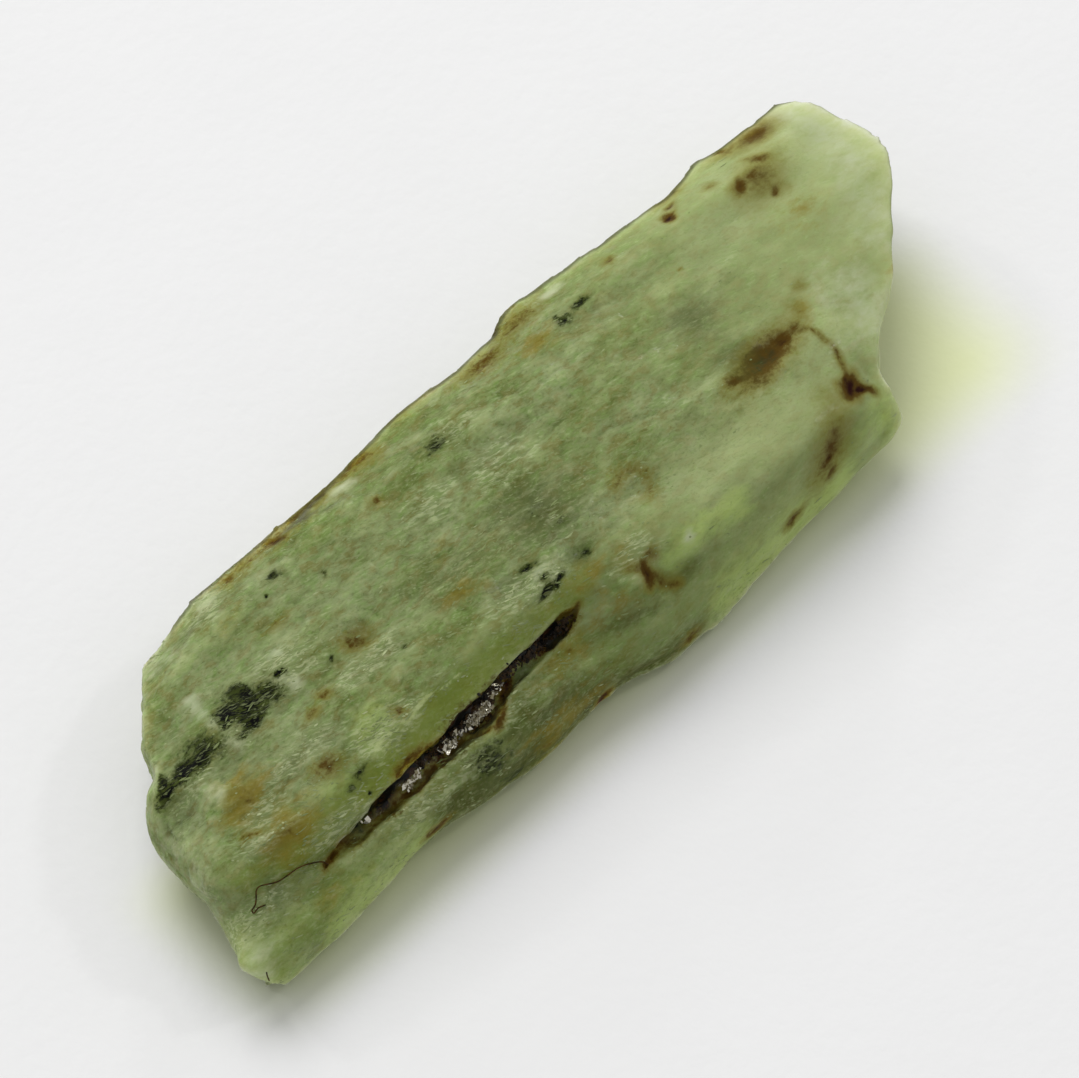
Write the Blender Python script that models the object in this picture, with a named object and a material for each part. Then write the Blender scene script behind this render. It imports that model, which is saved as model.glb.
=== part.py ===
"""Rough green kyanite: one bladed crystal with broken ends, lying on a broad cleavage face.

X runs along the blade, Y across it and Z up. The blade is one closed lattice of faces wrapped
round six sides: an upper face drawn by lines that run along the crystal, an underside with a flat
face to rest on, a left and a right wall, and two broken ends. It is drawn in millimetres.
"""
import math

import bmesh
import bpy
import numpy as np
from mathutils import Vector, noise

MM = 0.001

# Driving dimensions, in millimetres
LENGTH = 22.9
WIDTH = 7.4
HEIGHT = 3.05

# How finely the lattice is divided, and the angle under which neighbouring faces are one flat face
STATIONS = 78
FLAT_ANGLE = math.radians(0.8)

# Lines along the upper face, from the left edge to the lip above the right wall: (x, y, z)
LEFT_EDGE = [
    (-7.6, 2.75, 1.9), (-5.9, 3.05, 2.15), (-1.8, 3.05, 2.3), (0.2, 3.2, 2.3), (1.5, 3.05, 2.3),
    (2.7, 3.1, 2.3), (3.1, 3.35, 2.2), (4.4, 3.3, 2.25), (5.9, 3.1, 2.3), (8.1, 3.05, 2.25),
    (8.7, 3.2, 2.2), (10.4, 3.1, 2.1), (11.1, 3.2, 2.0),
]
SHOULDER = [
    (-8.5, 1.9, 2.25), (-7.5, 2.0, 2.45), (-6.3, 2.15, 2.6), (1.1, 2.1, 2.75), (5.6, 2.15, 2.75),
    (8.2, 2.15, 2.65), (10.1, 2.15, 2.5), (11.7, 2.2, 2.2),
]
MIDDLE = [
    (-9.6, 0.35, 2.5), (-8.0, 0.2, 2.75), (-5.9, 0.1, 2.85), (-1.5, 0.05, 2.95), (2.9, 0.1, 2.95),
    (7.3, 0.2, 2.85), (9.6, 0.3, 2.7), (11.5, 0.55, 2.4),
]
INNER = [
    (-10.4, -1.1, 2.45), (-9.5, -1.1, 2.65), (-6.2, -1.2, 2.9), (-1.8, -1.2, 3.0), (2.6, -1.25, 3.0),
    (6.0, -1.1, 2.9), (8.5, -1.0, 2.7), (10.4, -0.9, 2.4),
]
CREST = [
    (-10.6, -2.1, 2.5), (-7.3, -2.3, 2.75), (-6.1, -2.4, 2.8), (-5.7, -2.25, 2.85),
    (-1.3, -2.1, 2.9), (1.3, -2.3, 2.85), (3.5, -2.55, 2.8), (5.5, -2.4, 2.75), (6.9, -2.0, 2.7),
    (9.3, -1.8, 2.3),
]
BAND_FOOT = [
    (-10.4, -2.55, 2.05), (-8.3, -2.85, 2.25), (-6.1, -2.9, 2.3), (-2.8, -2.65, 2.4),
    (-0.8, -2.55, 2.5), (0.3, -2.8, 2.65), (1.3, -2.9, 2.7), (4.6, -2.9, 2.65), (6.6, -2.85, 2.55),
    (8.2, -2.65, 2.2),
]
SEAM = [
    (-10.5, -2.7, 1.95), (-8.5, -2.95, 1.95), (-7.7, -2.95, 1.7), (-5.9, -2.9, 1.6),
    (-3.7, -2.8, 1.6), (-1.5, -2.65, 1.75), (-0.8, -2.65, 2.3), (0.2, -2.95, 2.55), (4.6, -3.1, 2.6),
    (6.6, -3.05, 2.45), (7.9, -2.85, 2.1),
]
SEAM_LIP = [
    (-10.5, -2.85, 1.8), (-8.6, -3.2, 1.85), (-6.2, -3.25, 1.9), (-5.1, -3.15, 1.95),
    (-4.0, -3.25, 1.9), (-3.1, -2.95, 2.0), (-1.75, -2.85, 2.05), (-0.8, -2.8, 2.2),
    (0.2, -3.15, 2.5), (4.6, -3.3, 2.55), (6.6, -3.3, 2.35), (7.7, -3.1, 2.0),
]
LEDGE_LIP = [
    (-11.2, -3.45, 1.6), (-9.4, -3.5, 1.65), (-5.0, -3.55, 1.65), (-3.9, -3.6, 1.6),
    (-1.8, -3.45, 1.8), (-0.7, -3.6, 1.8), (0.3, -3.7, 1.85), (1.4, -3.6, 1.95), (4.7, -3.55, 1.9),
    (6.1, -3.7, 1.75), (7.7, -3.6, 1.6),
]
FLANK_FOOT = [
    (-10.9, -3.85, 0.6), (-9.0, -3.8, 0.5), (-6.6, -3.6, 0.6), (-5.6, -3.6, 0.65),
    (-3.5, -3.8, 0.4), (-0.9, -3.75, 0.55), (0.5, -3.95, 0.3), (1.6, -4.0, 0.3), (4.2, -3.8, 0.5),
    (6.2, -3.65, 0.6), (7.7, -3.65, 0.7),
]

# Each line of the upper face, with the number of columns between it and the next line
UPPER_LINES = [
    (LEFT_EDGE, 4), (SHOULDER, 8), (MIDDLE, 5), (INNER, 5), (CREST, 3), (BAND_FOOT, 1), (SEAM, 1),
    (SEAM_LIP, 3), (LEDGE_LIP, 0),
]

SEAM_COLUMN = sum(count for _, count in UPPER_LINES[:6])

# Outlines of the broken ends, seen from above, at the rim and half way down the wall: (y, x)
NEAR_RIM = [
    (-3.85, -10.8), (-3.45, -11.1), (-3.2, -10.85), (-2.75, -10.5), (-2.45, -10.4), (-2.1, -10.6),
    (-1.25, -10.4), (-0.55, -10.25), (-0.05, -10.1), (0.25, -9.75), (0.6, -9.4), (1.1, -9.2),
    (1.75, -8.65), (2.3, -8.1), (2.75, -7.6),
]
NEAR_BELLY = [
    (-3.8, -10.7), (-3.55, -11.15), (-3.3, -11.2), (-2.95, -10.85), (-2.45, -10.6), (-2.1, -10.5),
    (-1.5, -10.4), (-0.7, -10.4), (-0.1, -10.25), (0.2, -10.05), (0.35, -9.75), (0.45, -9.45),
    (1.0, -9.15), (1.65, -8.6), (2.2, -8.05), (2.6, -7.65),
]
FAR_RIM = [
    (-3.65, 7.6), (-3.5, 7.65), (-3.2, 7.5), (-2.9, 7.55), (-2.35, 8.3), (-1.6, 9.5), (-1.0, 10.15),
    (-0.3, 10.85), (0.15, 11.4), (0.8, 11.75), (1.8, 11.8), (2.5, 11.65), (3.0, 11.4), (3.2, 11.05),
]
FAR_BELLY = [
    (-3.8, 7.7), (-3.0, 7.5), (-2.3, 8.1), (-1.5, 9.25), (-0.8, 10.1), (0.0, 10.8), (0.9, 11.4),
    (1.8, 11.5), (2.9, 11.0),
]
BELLY_SHARE = 0.5
NEAR_UNDERCUT = 0.7
FAR_UNDERCUT = 0.8
ENDS_SETTLE = 5

# Rows of the walls, foot to rim: share of the height, and how far the left wall leans in there
WALL_ROWS = [(0.0, 0.60), (0.28, 0.46), (0.5, 0.30), (0.7, 0.16), (0.86, 0.05), (1.0, 0.0)]
RIGHT_FOOT_INSET = 0.55
FLANK_BULGE = 0.08

# The underside: how far the flat resting face stays back from the near end, the far end and the
# left foot, and how high the broken ledge round it lies
REST_NEAR = 1.1
REST_FAR = 2.6
REST_LEFT = 0.7
REST_WANDER = 0.5
WANDER_LENGTH = 2.5
LEDGE_RISE = 0.30
LEDGE_WANDER = 0.12

# Broad lumps and hollows of the upper face: (x, y, half length, half width, rise)
LUMPS = [
    (-10.3, -0.45, 1.2, 0.95, -0.50),
    (-9.1, 0.35, 0.9, 0.40, -0.16),
    (-7.1, 0.30, 1.0, 0.50, -0.10),
    (-9.1, -0.80, 0.6, 0.45, 0.07),
    (-5.9, -1.65, 1.3, 0.40, 0.06),
    (-4.6, -0.35, 0.5, 0.40, -0.07),
    (-1.8, -1.70, 1.1, 0.40, -0.12),
    (-0.4, -2.10, 0.9, 0.40, -0.20),
    (0.9, -3.25, 0.6, 0.35, -0.30),
    (2.0, -1.65, 0.9, 0.60, -0.13),
    (3.5, 3.10, 0.9, 0.50, 0.10),
    (6.0, -1.30, 1.1, 0.50, -0.12),
    (7.0, -2.95, 0.5, 0.35, -0.30),
    (7.3, -1.90, 0.4, 0.90, 0.08),
    (11.3, 2.20, 0.9, 1.50, -0.12),
]

# Growth steps and broken texture, in millimetres
STEP_HEIGHT = 0.055
STEP_LENGTH = 5.5
STEP_WIDTH = 1.0
STEPS_EACH_WAY = 2.6
ROUGH_LENGTH = 1.3
ROUGH_WIDTH = 0.55
ROUGH_UPPER = 0.045
ROUGH_SEAM = 0.14
ROUGH_WALL = 0.07
ROUGH_END = 0.20
ROUGH_FINER = 2.1

# Principled values of the stone
STONE_COLOUR = (0.25, 0.33, 0.12, 1.0)
STONE_ROUGHNESS = 0.42


def clear_scene():
    """Remove whatever objects the file holds."""
    for item in list(bpy.data.objects):
        bpy.data.objects.remove(item, do_unlink=True)


def mix(a, b, share):
    """A share of the way from a to b."""
    return a + (b - a) * share


def line_at(line, x):
    """Y and Z of a line at x, straight between its points."""
    xs, ys, zs = zip(*line)
    return Vector((x, float(np.interp(x, xs, ys)), float(np.interp(x, xs, zs))))


def outline_x(outline, y):
    """How far along the blade an outline lies at y."""
    ys, xs = zip(*outline)
    return float(np.interp(y, ys, xs))


def end_x(rim, belly, undercut, y, share):
    """How far along the blade a broken end lies at y, at a share of the wall's height."""
    belly_x = outline_x(belly, y)
    if share < BELLY_SHARE:
        return belly_x + undercut * (BELLY_SHARE - share) / BELLY_SHARE
    return mix(belly_x, outline_x(rim, y), (share - BELLY_SHARE) / (1.0 - BELLY_SHARE))


def near_x(y, share):
    """The near end at y, at a share of the wall's height."""
    return end_x(NEAR_RIM, NEAR_BELLY, NEAR_UNDERCUT, y, share)


def far_x(y, share):
    """The far end at y, at a share of the wall's height."""
    return end_x(FAR_RIM, FAR_BELLY, -FAR_UNDERCUT, y, share)


def run(profile, share):
    """Points of a profile, near end to far end, at a share of the walls' height."""
    near = -LENGTH / 2
    far = LENGTH / 2
    for _ in range(ENDS_SETTLE):
        near = near_x(profile(near).y, share)
        far = far_x(profile(far).y, share)
    return [profile(x) for x in np.linspace(near, far, STATIONS + 1)]


def upper_face():
    """Columns of the upper face, left edge first."""
    columns = []
    for (line, count), (next_line, _) in zip(UPPER_LINES, UPPER_LINES[1:]):
        for step in range(count):
            def profile(x):
                return line_at(line, x).lerp(line_at(next_line, x), step / count)
            columns.append(run(profile, 1.0))
    columns.append(run(lambda x: line_at(LEDGE_LIP, x), 1.0))
    return columns


def left_wall_at(x, share, inset):
    """A point of the left wall, which leans in below the left edge."""
    edge = line_at(LEFT_EDGE, x)
    return Vector((x, edge.y - inset, mix(LEDGE_RISE, edge.z, share)))


def right_wall_at(x, share):
    """A point of the right wall: steep, smooth, a little full, and turned under at its foot."""
    foot_share = WALL_ROWS[1][0]
    if share < foot_share:
        foot = line_at(FLANK_FOOT, x)
        return Vector((x, foot.y + RIGHT_FOOT_INSET, 0.0))
    climb = (share - foot_share) / (1.0 - foot_share)
    point = line_at(FLANK_FOOT, x).lerp(line_at(LEDGE_LIP, x), climb)
    point.y -= FLANK_BULGE * math.sin(math.pi * climb)
    return point


def underside_at(x, across):
    """A point of the underside: a flat resting face in a broken ledge."""
    left = left_wall_at(x, *WALL_ROWS[0])
    point = left.lerp(right_wall_at(x, 0.0), across)
    place = Vector((x / WANDER_LENGTH, point.y / WANDER_LENGTH, 0.0))
    wander = REST_WANDER * noise.noise(place)
    from_near = x - near_x(point.y, 0.0)
    from_far = far_x(point.y, 0.0) - x
    from_left = left.y - point.y
    spare = min(from_near - REST_NEAR, from_far - REST_FAR, from_left - REST_LEFT)
    point.z = 0.0 if spare > wander else LEDGE_RISE + LEDGE_WANDER * noise.noise(place * 2.0)
    return point


def lump_rise(x, y):
    """Height that the lumps and hollows add at a place on the upper face."""
    rise = 0.0
    for centre_x, centre_y, half_length, half_width, height in LUMPS:
        reach = ((x - centre_x) / half_length) ** 2 + ((y - centre_y) / half_width) ** 2
        if reach < 1.0:
            rise += height * (1.0 - reach) ** 2
    return rise


def growth_steps(x, y):
    """Low flat steps drawn out along the blade, with short slopes between them."""
    level = STEPS_EACH_WAY * noise.noise(Vector((x / STEP_LENGTH, y / STEP_WIDTH, 0.0)))
    return STEP_HEIGHT * (level - math.sin(math.tau * level) / math.tau)


def roughness_at(point):
    """Broken texture at a point, longer along the blade than across it."""
    place = Vector((point.x / ROUGH_LENGTH, point.y / ROUGH_WIDTH, point.z / ROUGH_WIDTH))
    return noise.noise(place) + noise.noise(place * ROUGH_FINER) / ROUGH_FINER


class Lattice:
    """The crystal's vertices, by station (i), column (j) and wall row (k)."""

    def __init__(self):
        self.upper = upper_face()
        self.columns = len(self.upper) - 1
        self.rows = len(WALL_ROWS) - 1
        self.left = [run(lambda x: left_wall_at(x, *row), row[0]) for row in WALL_ROWS]
        self.right = [run(lambda x: right_wall_at(x, row[0]), row[0]) for row in WALL_ROWS]
        shares = [j / self.columns for j in range(self.columns + 1)]
        self.under = [run(lambda x: underside_at(x, across), 0.0) for across in shares]
        self.mesh = bmesh.new()
        self.vertices = {}

    def end_point(self, i, j, k):
        """A point of a broken end, between the underside and the rim above it."""
        share = WALL_ROWS[k][0]
        point = self.under[j][i].lerp(self.upper[j][i], share)
        point.x = near_x(point.y, share) if i == 0 else far_x(point.y, share)
        return point

    def place(self, i, j, k):
        """Where a vertex of the lattice lies before it is roughened."""
        if k == self.rows:
            point = self.upper[j][i]
            return point + Vector((0.0, 0.0, lump_rise(point.x, point.y) + growth_steps(*point.xy)))
        if j == 0:
            return self.left[k][i]
        if j == self.columns:
            return self.right[k][i]
        if k == 0:
            return self.under[j][i]
        return self.end_point(i, j, k)

    def vertex(self, i, j, k):
        """The vertex at a lattice place, made the first time that it is asked for."""
        key = (i, j, k)
        if key not in self.vertices:
            self.vertices[key] = self.mesh.verts.new(self.place(i, j, k))
        return self.vertices[key]

    def quad(self, *corners):
        """One face of the lattice from its four corners."""
        self.mesh.faces.new([self.vertex(*corner) for corner in corners])

    def wrap(self):
        """Make all six sides."""
        last, wide, tall = STATIONS, self.columns, self.rows
        for i in range(last):
            for j in range(wide):
                self.quad((i, j, tall), (i, j + 1, tall), (i + 1, j + 1, tall), (i + 1, j, tall))
                self.quad((i, j, 0), (i + 1, j, 0), (i + 1, j + 1, 0), (i, j + 1, 0))
            for k in range(tall):
                self.quad((i, 0, k), (i, 0, k + 1), (i + 1, 0, k + 1), (i + 1, 0, k))
                self.quad((i, wide, k), (i + 1, wide, k), (i + 1, wide, k + 1), (i, wide, k + 1))
        for j in range(wide):
            for k in range(tall):
                self.quad((0, j, k), (0, j + 1, k), (0, j + 1, k + 1), (0, j, k + 1))
                self.quad((last, j, k), (last, j, k + 1), (last, j + 1, k + 1), (last, j + 1, k))

    def rough_depth(self, i, j, k):
        """How rough the surface is: coarse on the ends and in the seam, finest on top."""
        if k == 0:
            return 0.0
        if k == self.rows:
            return ROUGH_SEAM if j == SEAM_COLUMN else ROUGH_UPPER
        if i in (0, STATIONS) and 0 < j < self.columns:
            return ROUGH_END
        return ROUGH_WALL

    def roughen(self):
        """Break up the surface, except the underside."""
        self.mesh.normal_update()
        moves = []
        for place, vertex in self.vertices.items():
            moves.append(vertex.normal * (roughness_at(vertex.co) * self.rough_depth(*place)))
        for vertex, move in zip(self.vertices.values(), moves):
            vertex.co += move

    def merge_flats(self):
        """Join neighbouring faces that lie in one plane, and cut the rest into triangles."""
        bmesh.ops.dissolve_limit(
            self.mesh, angle_limit=FLAT_ANGLE, verts=self.mesh.verts[:], edges=self.mesh.edges[:])
        bmesh.ops.triangulate(self.mesh, faces=self.mesh.faces[:])

    def size_and_place(self):
        """Bring the crystal to its driving dimensions, with the middle of its footprint at 0."""
        places = np.array([vertex.co[:] for vertex in self.mesh.verts])
        low = places.min(axis=0)
        high = places.max(axis=0)
        middle = Vector(((low[0] + high[0]) / 2, (low[1] + high[1]) / 2, low[2]))
        scale = [size * MM / span for size, span in zip((LENGTH, WIDTH, HEIGHT), high - low)]
        for vertex in self.mesh.verts:
            moved = vertex.co - middle
            vertex.co = Vector([part * factor for part, factor in zip(moved, scale)])


def stone_material():
    """Green stone with a soft gloss."""
    material = bpy.data.materials.new("kyanite")
    material.use_nodes = True
    shader = material.node_tree.nodes["Principled BSDF"]
    shader.inputs["Base Color"].default_value = STONE_COLOUR
    shader.inputs["Roughness"].default_value = STONE_ROUGHNESS
    shader.inputs["Metallic"].default_value = 0.0
    return material


def make_crystal():
    """The whole crystal as one object."""
    lattice = Lattice()
    lattice.wrap()
    lattice.roughen()
    lattice.merge_flats()
    lattice.size_and_place()
    mesh = bpy.data.meshes.new("kyanite_crystal")
    lattice.mesh.to_mesh(mesh)
    lattice.mesh.free()
    mesh.materials.append(stone_material())
    crystal = bpy.data.objects.new("kyanite_crystal", mesh)
    bpy.context.collection.objects.link(crystal)
    return crystal


clear_scene()
make_crystal()
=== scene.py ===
"""Looks of a rough green kyanite crystal, lying on a pale floor in soft light.

The fine crystal is the solid remeshed, worn round at its edges and given the relief of a cleaved and
weathered blade. Stains, inclusions and frosted places are masks on its points, and so are painted
glow, painted shade and painted highlights. Each mask is placed where a pixel of the photograph sees
the crystal, and the stone's material turns it into colour, gloss and fine relief. Lengths are in
millimetres unless they say otherwise.
"""
import math
from collections import namedtuple

import bpy
import numpy as np
from mathutils import Matrix, Vector, noise
from mathutils.bvhtree import BVHTree


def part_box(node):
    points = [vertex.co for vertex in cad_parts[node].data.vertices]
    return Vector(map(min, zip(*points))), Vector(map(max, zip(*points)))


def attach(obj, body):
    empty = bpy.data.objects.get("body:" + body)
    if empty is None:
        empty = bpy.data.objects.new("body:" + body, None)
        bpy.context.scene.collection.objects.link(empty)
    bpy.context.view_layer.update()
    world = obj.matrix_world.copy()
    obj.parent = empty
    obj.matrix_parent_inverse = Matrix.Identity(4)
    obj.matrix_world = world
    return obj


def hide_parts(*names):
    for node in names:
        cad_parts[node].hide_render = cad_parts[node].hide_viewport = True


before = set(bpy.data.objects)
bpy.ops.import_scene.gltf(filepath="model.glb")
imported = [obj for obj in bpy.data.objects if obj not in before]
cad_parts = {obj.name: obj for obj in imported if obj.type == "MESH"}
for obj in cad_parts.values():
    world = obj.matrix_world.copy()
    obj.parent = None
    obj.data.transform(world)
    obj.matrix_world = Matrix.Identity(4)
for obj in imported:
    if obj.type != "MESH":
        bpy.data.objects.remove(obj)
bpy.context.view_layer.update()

MM = 0.001
NODE = "kyanite_crystal"
BODY = "root"

# The photograph's camera: its picture in pixels, what a pixel spans at the crystal, and its view
PHOTO_WIDTH = 1079
PHOTO_HEIGHT = 1078
PIXEL = 0.020
VIEW_AZIMUTH = math.radians(-46.53)
VIEW_ELEVATION = math.radians(55)
CAMERA_DISTANCE = 210.0
SENSOR_WIDTH = 36.0
AIM = Vector((0.59, 0.46, 0.0))

LEVEL = Vector((-math.sin(VIEW_AZIMUTH), math.cos(VIEW_AZIMUTH), 0.0))
FORWARD = LEVEL * math.cos(VIEW_ELEVATION) - Vector((0.0, 0.0, math.sin(VIEW_ELEVATION)))
RIGHT = FORWARD.cross(Vector((0.0, 0.0, 1.0))).normalized()
UP = RIGHT.cross(FORWARD)
EYE = AIM - FORWARD * CAMERA_DISTANCE

# Half the depth of the view that the crystal takes up
DEPTH_HALF = 10.0

# Noises that make the outlines of marks uneven: the size of their lumps, their reach and their seed
BENDS = [(0.45, 0.10, 31), (0.18, 0.06, 41)]

# The fine mesh: how far apart its points are, and how its edges are worn
VOXEL = 0.072
WEAR_ROUNDS = 5
WEAR_SHARE = 0.5
REST_SNAP = 0.05

# Marks on the stone are rows. A blot has the pixel that it lies round, half its length along the
# blade, half its width, its strength, and its turn from the blade in degrees. A vein has the pixels
# that it follows, half its width and its strength.
Blot = namedtuple("Blot", "x y length width strength turn", defaults=(1.0, 0))
Vein = namedtuple("Vein", "pixels width strength", defaults=(1.0,))

SEAM = [(325, 867), (345, 843), (362, 824), (385, 801), (403, 784), (419, 765), (446, 741),
        (473, 714), (490, 694), (512, 668), (530, 654), (556, 632), (571, 617), (579, 607)]
SEAM_HALF_WIDTH = [0.03, 0.06, 0.12, 0.24, 0.20, 0.19, 0.26, 0.29, 0.23, 0.12, 0.13, 0.17, 0.13,
                   0.04]

INCLUSIONS = {
    "outer_core": (200, 757, 0.36, 0.24, 1.0, 10),
    "outer_shade": (205, 747, 0.6, 0.46, 0.68, -30),
    "outer_middle": (186, 769, 0.4, 0.22, 1.0, 5),
    "outer_tail": (167, 791, 0.36, 0.17, 1.0, 5),
    "outer_rim": (159, 800, 0.16, 0.09, 0.75, 20),
    "outer_edge": (163, 783, 0.22, 0.14, 0.9, 30),
    "inner_near": (226, 713, 0.38, 0.28, 1.0, 20),
    "inner_left": (240, 694, 0.26, 0.26, 0.95),
    "inner_middle": (248, 706, 0.55, 0.34, 0.85),
    "inner_low": (252, 720, 0.34, 0.18, 0.9, 15),
    "inner_foot": (242, 733, 0.18, 0.12, 0.75),
    "inner_end": (267, 690, 0.36, 0.34, 0.8, -10),
    "inner_side": (277, 697, 0.2, 0.2, 0.7),
    "inner_speck": (278, 673, 0.13, 0.09),
    "edge_dot": (274, 573, 0.24, 0.16, 0.74, 10),
    "edge_speck": (267, 595, 0.04, 0.04, 0.9),
    "short_slit": (323, 574, 0.15, 0.07, 0.74, 75),
    "upper_spot": (435, 443, 0.3, 0.22, 0.78),
    "upper_spot_trail": (414, 452, 0.6, 0.3, 0.42),
    "upper_dot": (424, 413, 0.14, 0.11, 0.6),
    "far_dots_lower": (561, 319, 0.17, 0.17, 0.8, 50),
    "far_dots_side": (568, 313, 0.1, 0.12, 0.7),
    "far_dots_upper": (579, 302, 0.28, 0.11, 0.85, 5),
    "far_dots_trail": (602, 327, 0.18, 0.12, 0.42),
    "black_dot": (401, 646, 0.06, 0.06),
    "side_slit": (331, 659, 0.12, 0.06, 0.8, 30),
    "flank_patch": (490, 762, 0.6, 0.44, 0.66),
    "flank_patch_low": (512, 778, 0.5, 0.34, 0.62),
    "flank_patch_upper": (508, 752, 0.4, 0.25, 0.52),
    "crest_spot": (360, 771, 0.3, 0.14, 0.62, 15),
    "crest_dot": (349, 788, 0.14, 0.1, 0.55),
    "crest_speck": (369, 792, 0.06, 0.05),
    "slit_left": (529, 570, 0.22, 0.09, 0.8, -10),
    "slit_left_arm": (546, 578, 0.18, 0.08, 0.7, -25),
    "slit_middle": (548, 589, 0.3, 0.08, 1.0, 5),
    "slit_middle_upper": (560, 579, 0.2, 0.08, 0.95, 20),
    "slit_right": (579, 560, 0.3, 0.24, 0.5, 20),
    "slit_right_dot": (584, 553, 0.12, 0.08, 0.75, 20),
    "blob_dark": (750, 364, 0.6, 0.36, 0.42, 8),
    "blob_core": (760, 361, 0.4, 0.16, 0.46, 8),
    "seam_blob": (362, 823, 0.34, 0.22, 0.66, 10),
    "cloud_core": (538, 512, 0.6, 0.42, 0.46),
    "cloud_side": (560, 520, 0.3, 0.2, 0.44),
}
RUST = {
    "red_spot": (357, 641, 0.38, 0.3, 0.62, -10),
    "red_spot_core": (352, 645, 0.16, 0.14, 0.66, 30),
    "near_dash": (247, 838, 0.24, 0.12, 0.62, 20),
    "far_dark": (669, 216, 0.2, 0.17, 0.95, 60),
    "far_dark_tail": (673, 205, 0.16, 0.15, 0.7),
    "far_comma": (741, 186, 0.34, 0.2, 0.8, 15),
    "far_comma_tail": (755, 174, 0.34, 0.2, 0.7, 10),
    "far_comma_head": (759, 158, 0.36, 0.22, 0.68, -40),
    "far_dot": (777, 191, 0.18, 0.16, 0.76, 30),
    "far_dot_shade": (775, 186, 0.42, 0.34, 0.56),
    "far_haze_rim": (728, 150, 0.6, 0.24, 0.6),
    "far_haze_upper": (753, 134, 0.7, 0.42, 0.74, 5),
    "far_haze_middle": (762, 177, 0.85, 0.55, 0.56, 20),
    "far_dash": (719, 152, 0.22, 0.09, 0.85),
    "far_soft_dot": (709, 186, 0.24, 0.2, 0.56),
    "far_middle": (799, 284, 0.24, 0.2, 0.52),
    "far_rim_haze": (667, 197, 0.5, 0.2, 0.58),
    "far_fleck": (680, 269, 0.08, 0.07, 0.7),
    "edge_far": (609, 260, 0.24, 0.15, 0.58),
    "blob_head": (781, 341, 0.36, 0.26, 0.84, 20),
    "blob_head_upper": (792, 329, 0.4, 0.24, 0.66, 10),
    "blob_trail": (798, 312, 0.4, 0.26, 0.48, 60),
    "blob_body": (765, 359, 1.0, 0.38, 0.86, 8),
    "blob_foot": (735, 380, 0.36, 0.2, 0.76),
    "triangle_body": (852, 387, 0.32, 0.28),
    "triangle_point": (864, 389, 0.34, 0.14, 1.0, -45),
    "triangle_top": (846, 380, 0.2, 0.13, 0.9, 60),
    "ring_body": (830, 450, 1.0, 0.48, 0.64, 49),
    "ring_top": (834, 434, 0.36, 0.26, 0.66, 49),
    "streak_halo": (834, 398, 0.6, 0.44, 0.4, -40),
    "ring_foot": (832, 471, 0.22, 0.16, 0.72, 49),
    "ring_core": (829, 457, 0.14, 0.12, 0.95),
    "flank_edge_near": (436, 829, 0.34, 0.13, 0.85),
    "flank_edge_middle": (603, 700, 0.28, 0.18, 0.95, 30),
    "flank_edge_far": (691, 636, 0.36, 0.18, 0.66),
    "flank_spot": (794, 518, 0.34, 0.18, 0.7),
    "edge_dash": (275, 540, 0.24, 0.13, 0.92, -40),
    "edge_second": (294, 517, 0.4, 0.18, 0.82),
    "edge_third": (319, 495, 0.36, 0.18, 0.74, -10),
    "edge_fourth": (348, 466, 0.44, 0.18, 0.74),
    "edge_start": (229, 577, 0.24, 0.2, 0.72, 20),
    "edge_small": (250, 559, 0.2, 0.14, 0.6),
    "upper_fleck": (375, 501, 0.22, 0.18, 0.62, -40),
    "side_streak": (275, 622, 0.34, 0.1, 0.56),
    "bump": (516, 322, 0.8, 0.3, 0.6),
    "bump_trail": (481, 364, 0.75, 0.34, 0.66),
    "bump_side": (536, 342, 0.5, 0.24, 0.48),
    "speck_one": (313, 716, 0.2, 0.14, 0.66),
    "speck_two": (323, 694, 0.2, 0.15, 0.64),
    "speck_three": (327, 768, 0.36, 0.24, 0.64),
    "speck_four": (396, 712, 0.18, 0.18, 0.64),
    "speck_five": (460, 592, 0.24, 0.18, 0.48),
    "under_seam": (552, 757, 0.5, 0.22, 0.5),
    "flank_low": (548, 745, 0.4, 0.12, 0.52),
    "ledge_dot": (571, 650, 0.12, 0.1, 0.6),
    "stain_core": (242, 799, 0.46, 0.3, 0.5, 10),
    "stain_foot": (286, 834, 0.46, 0.28, 0.54, 10),
    "stain_red": (254, 834, 0.24, 0.1, 0.6),
    "seam_blob": (343, 844, 0.28, 0.16, 0.7, 10),
}
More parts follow.
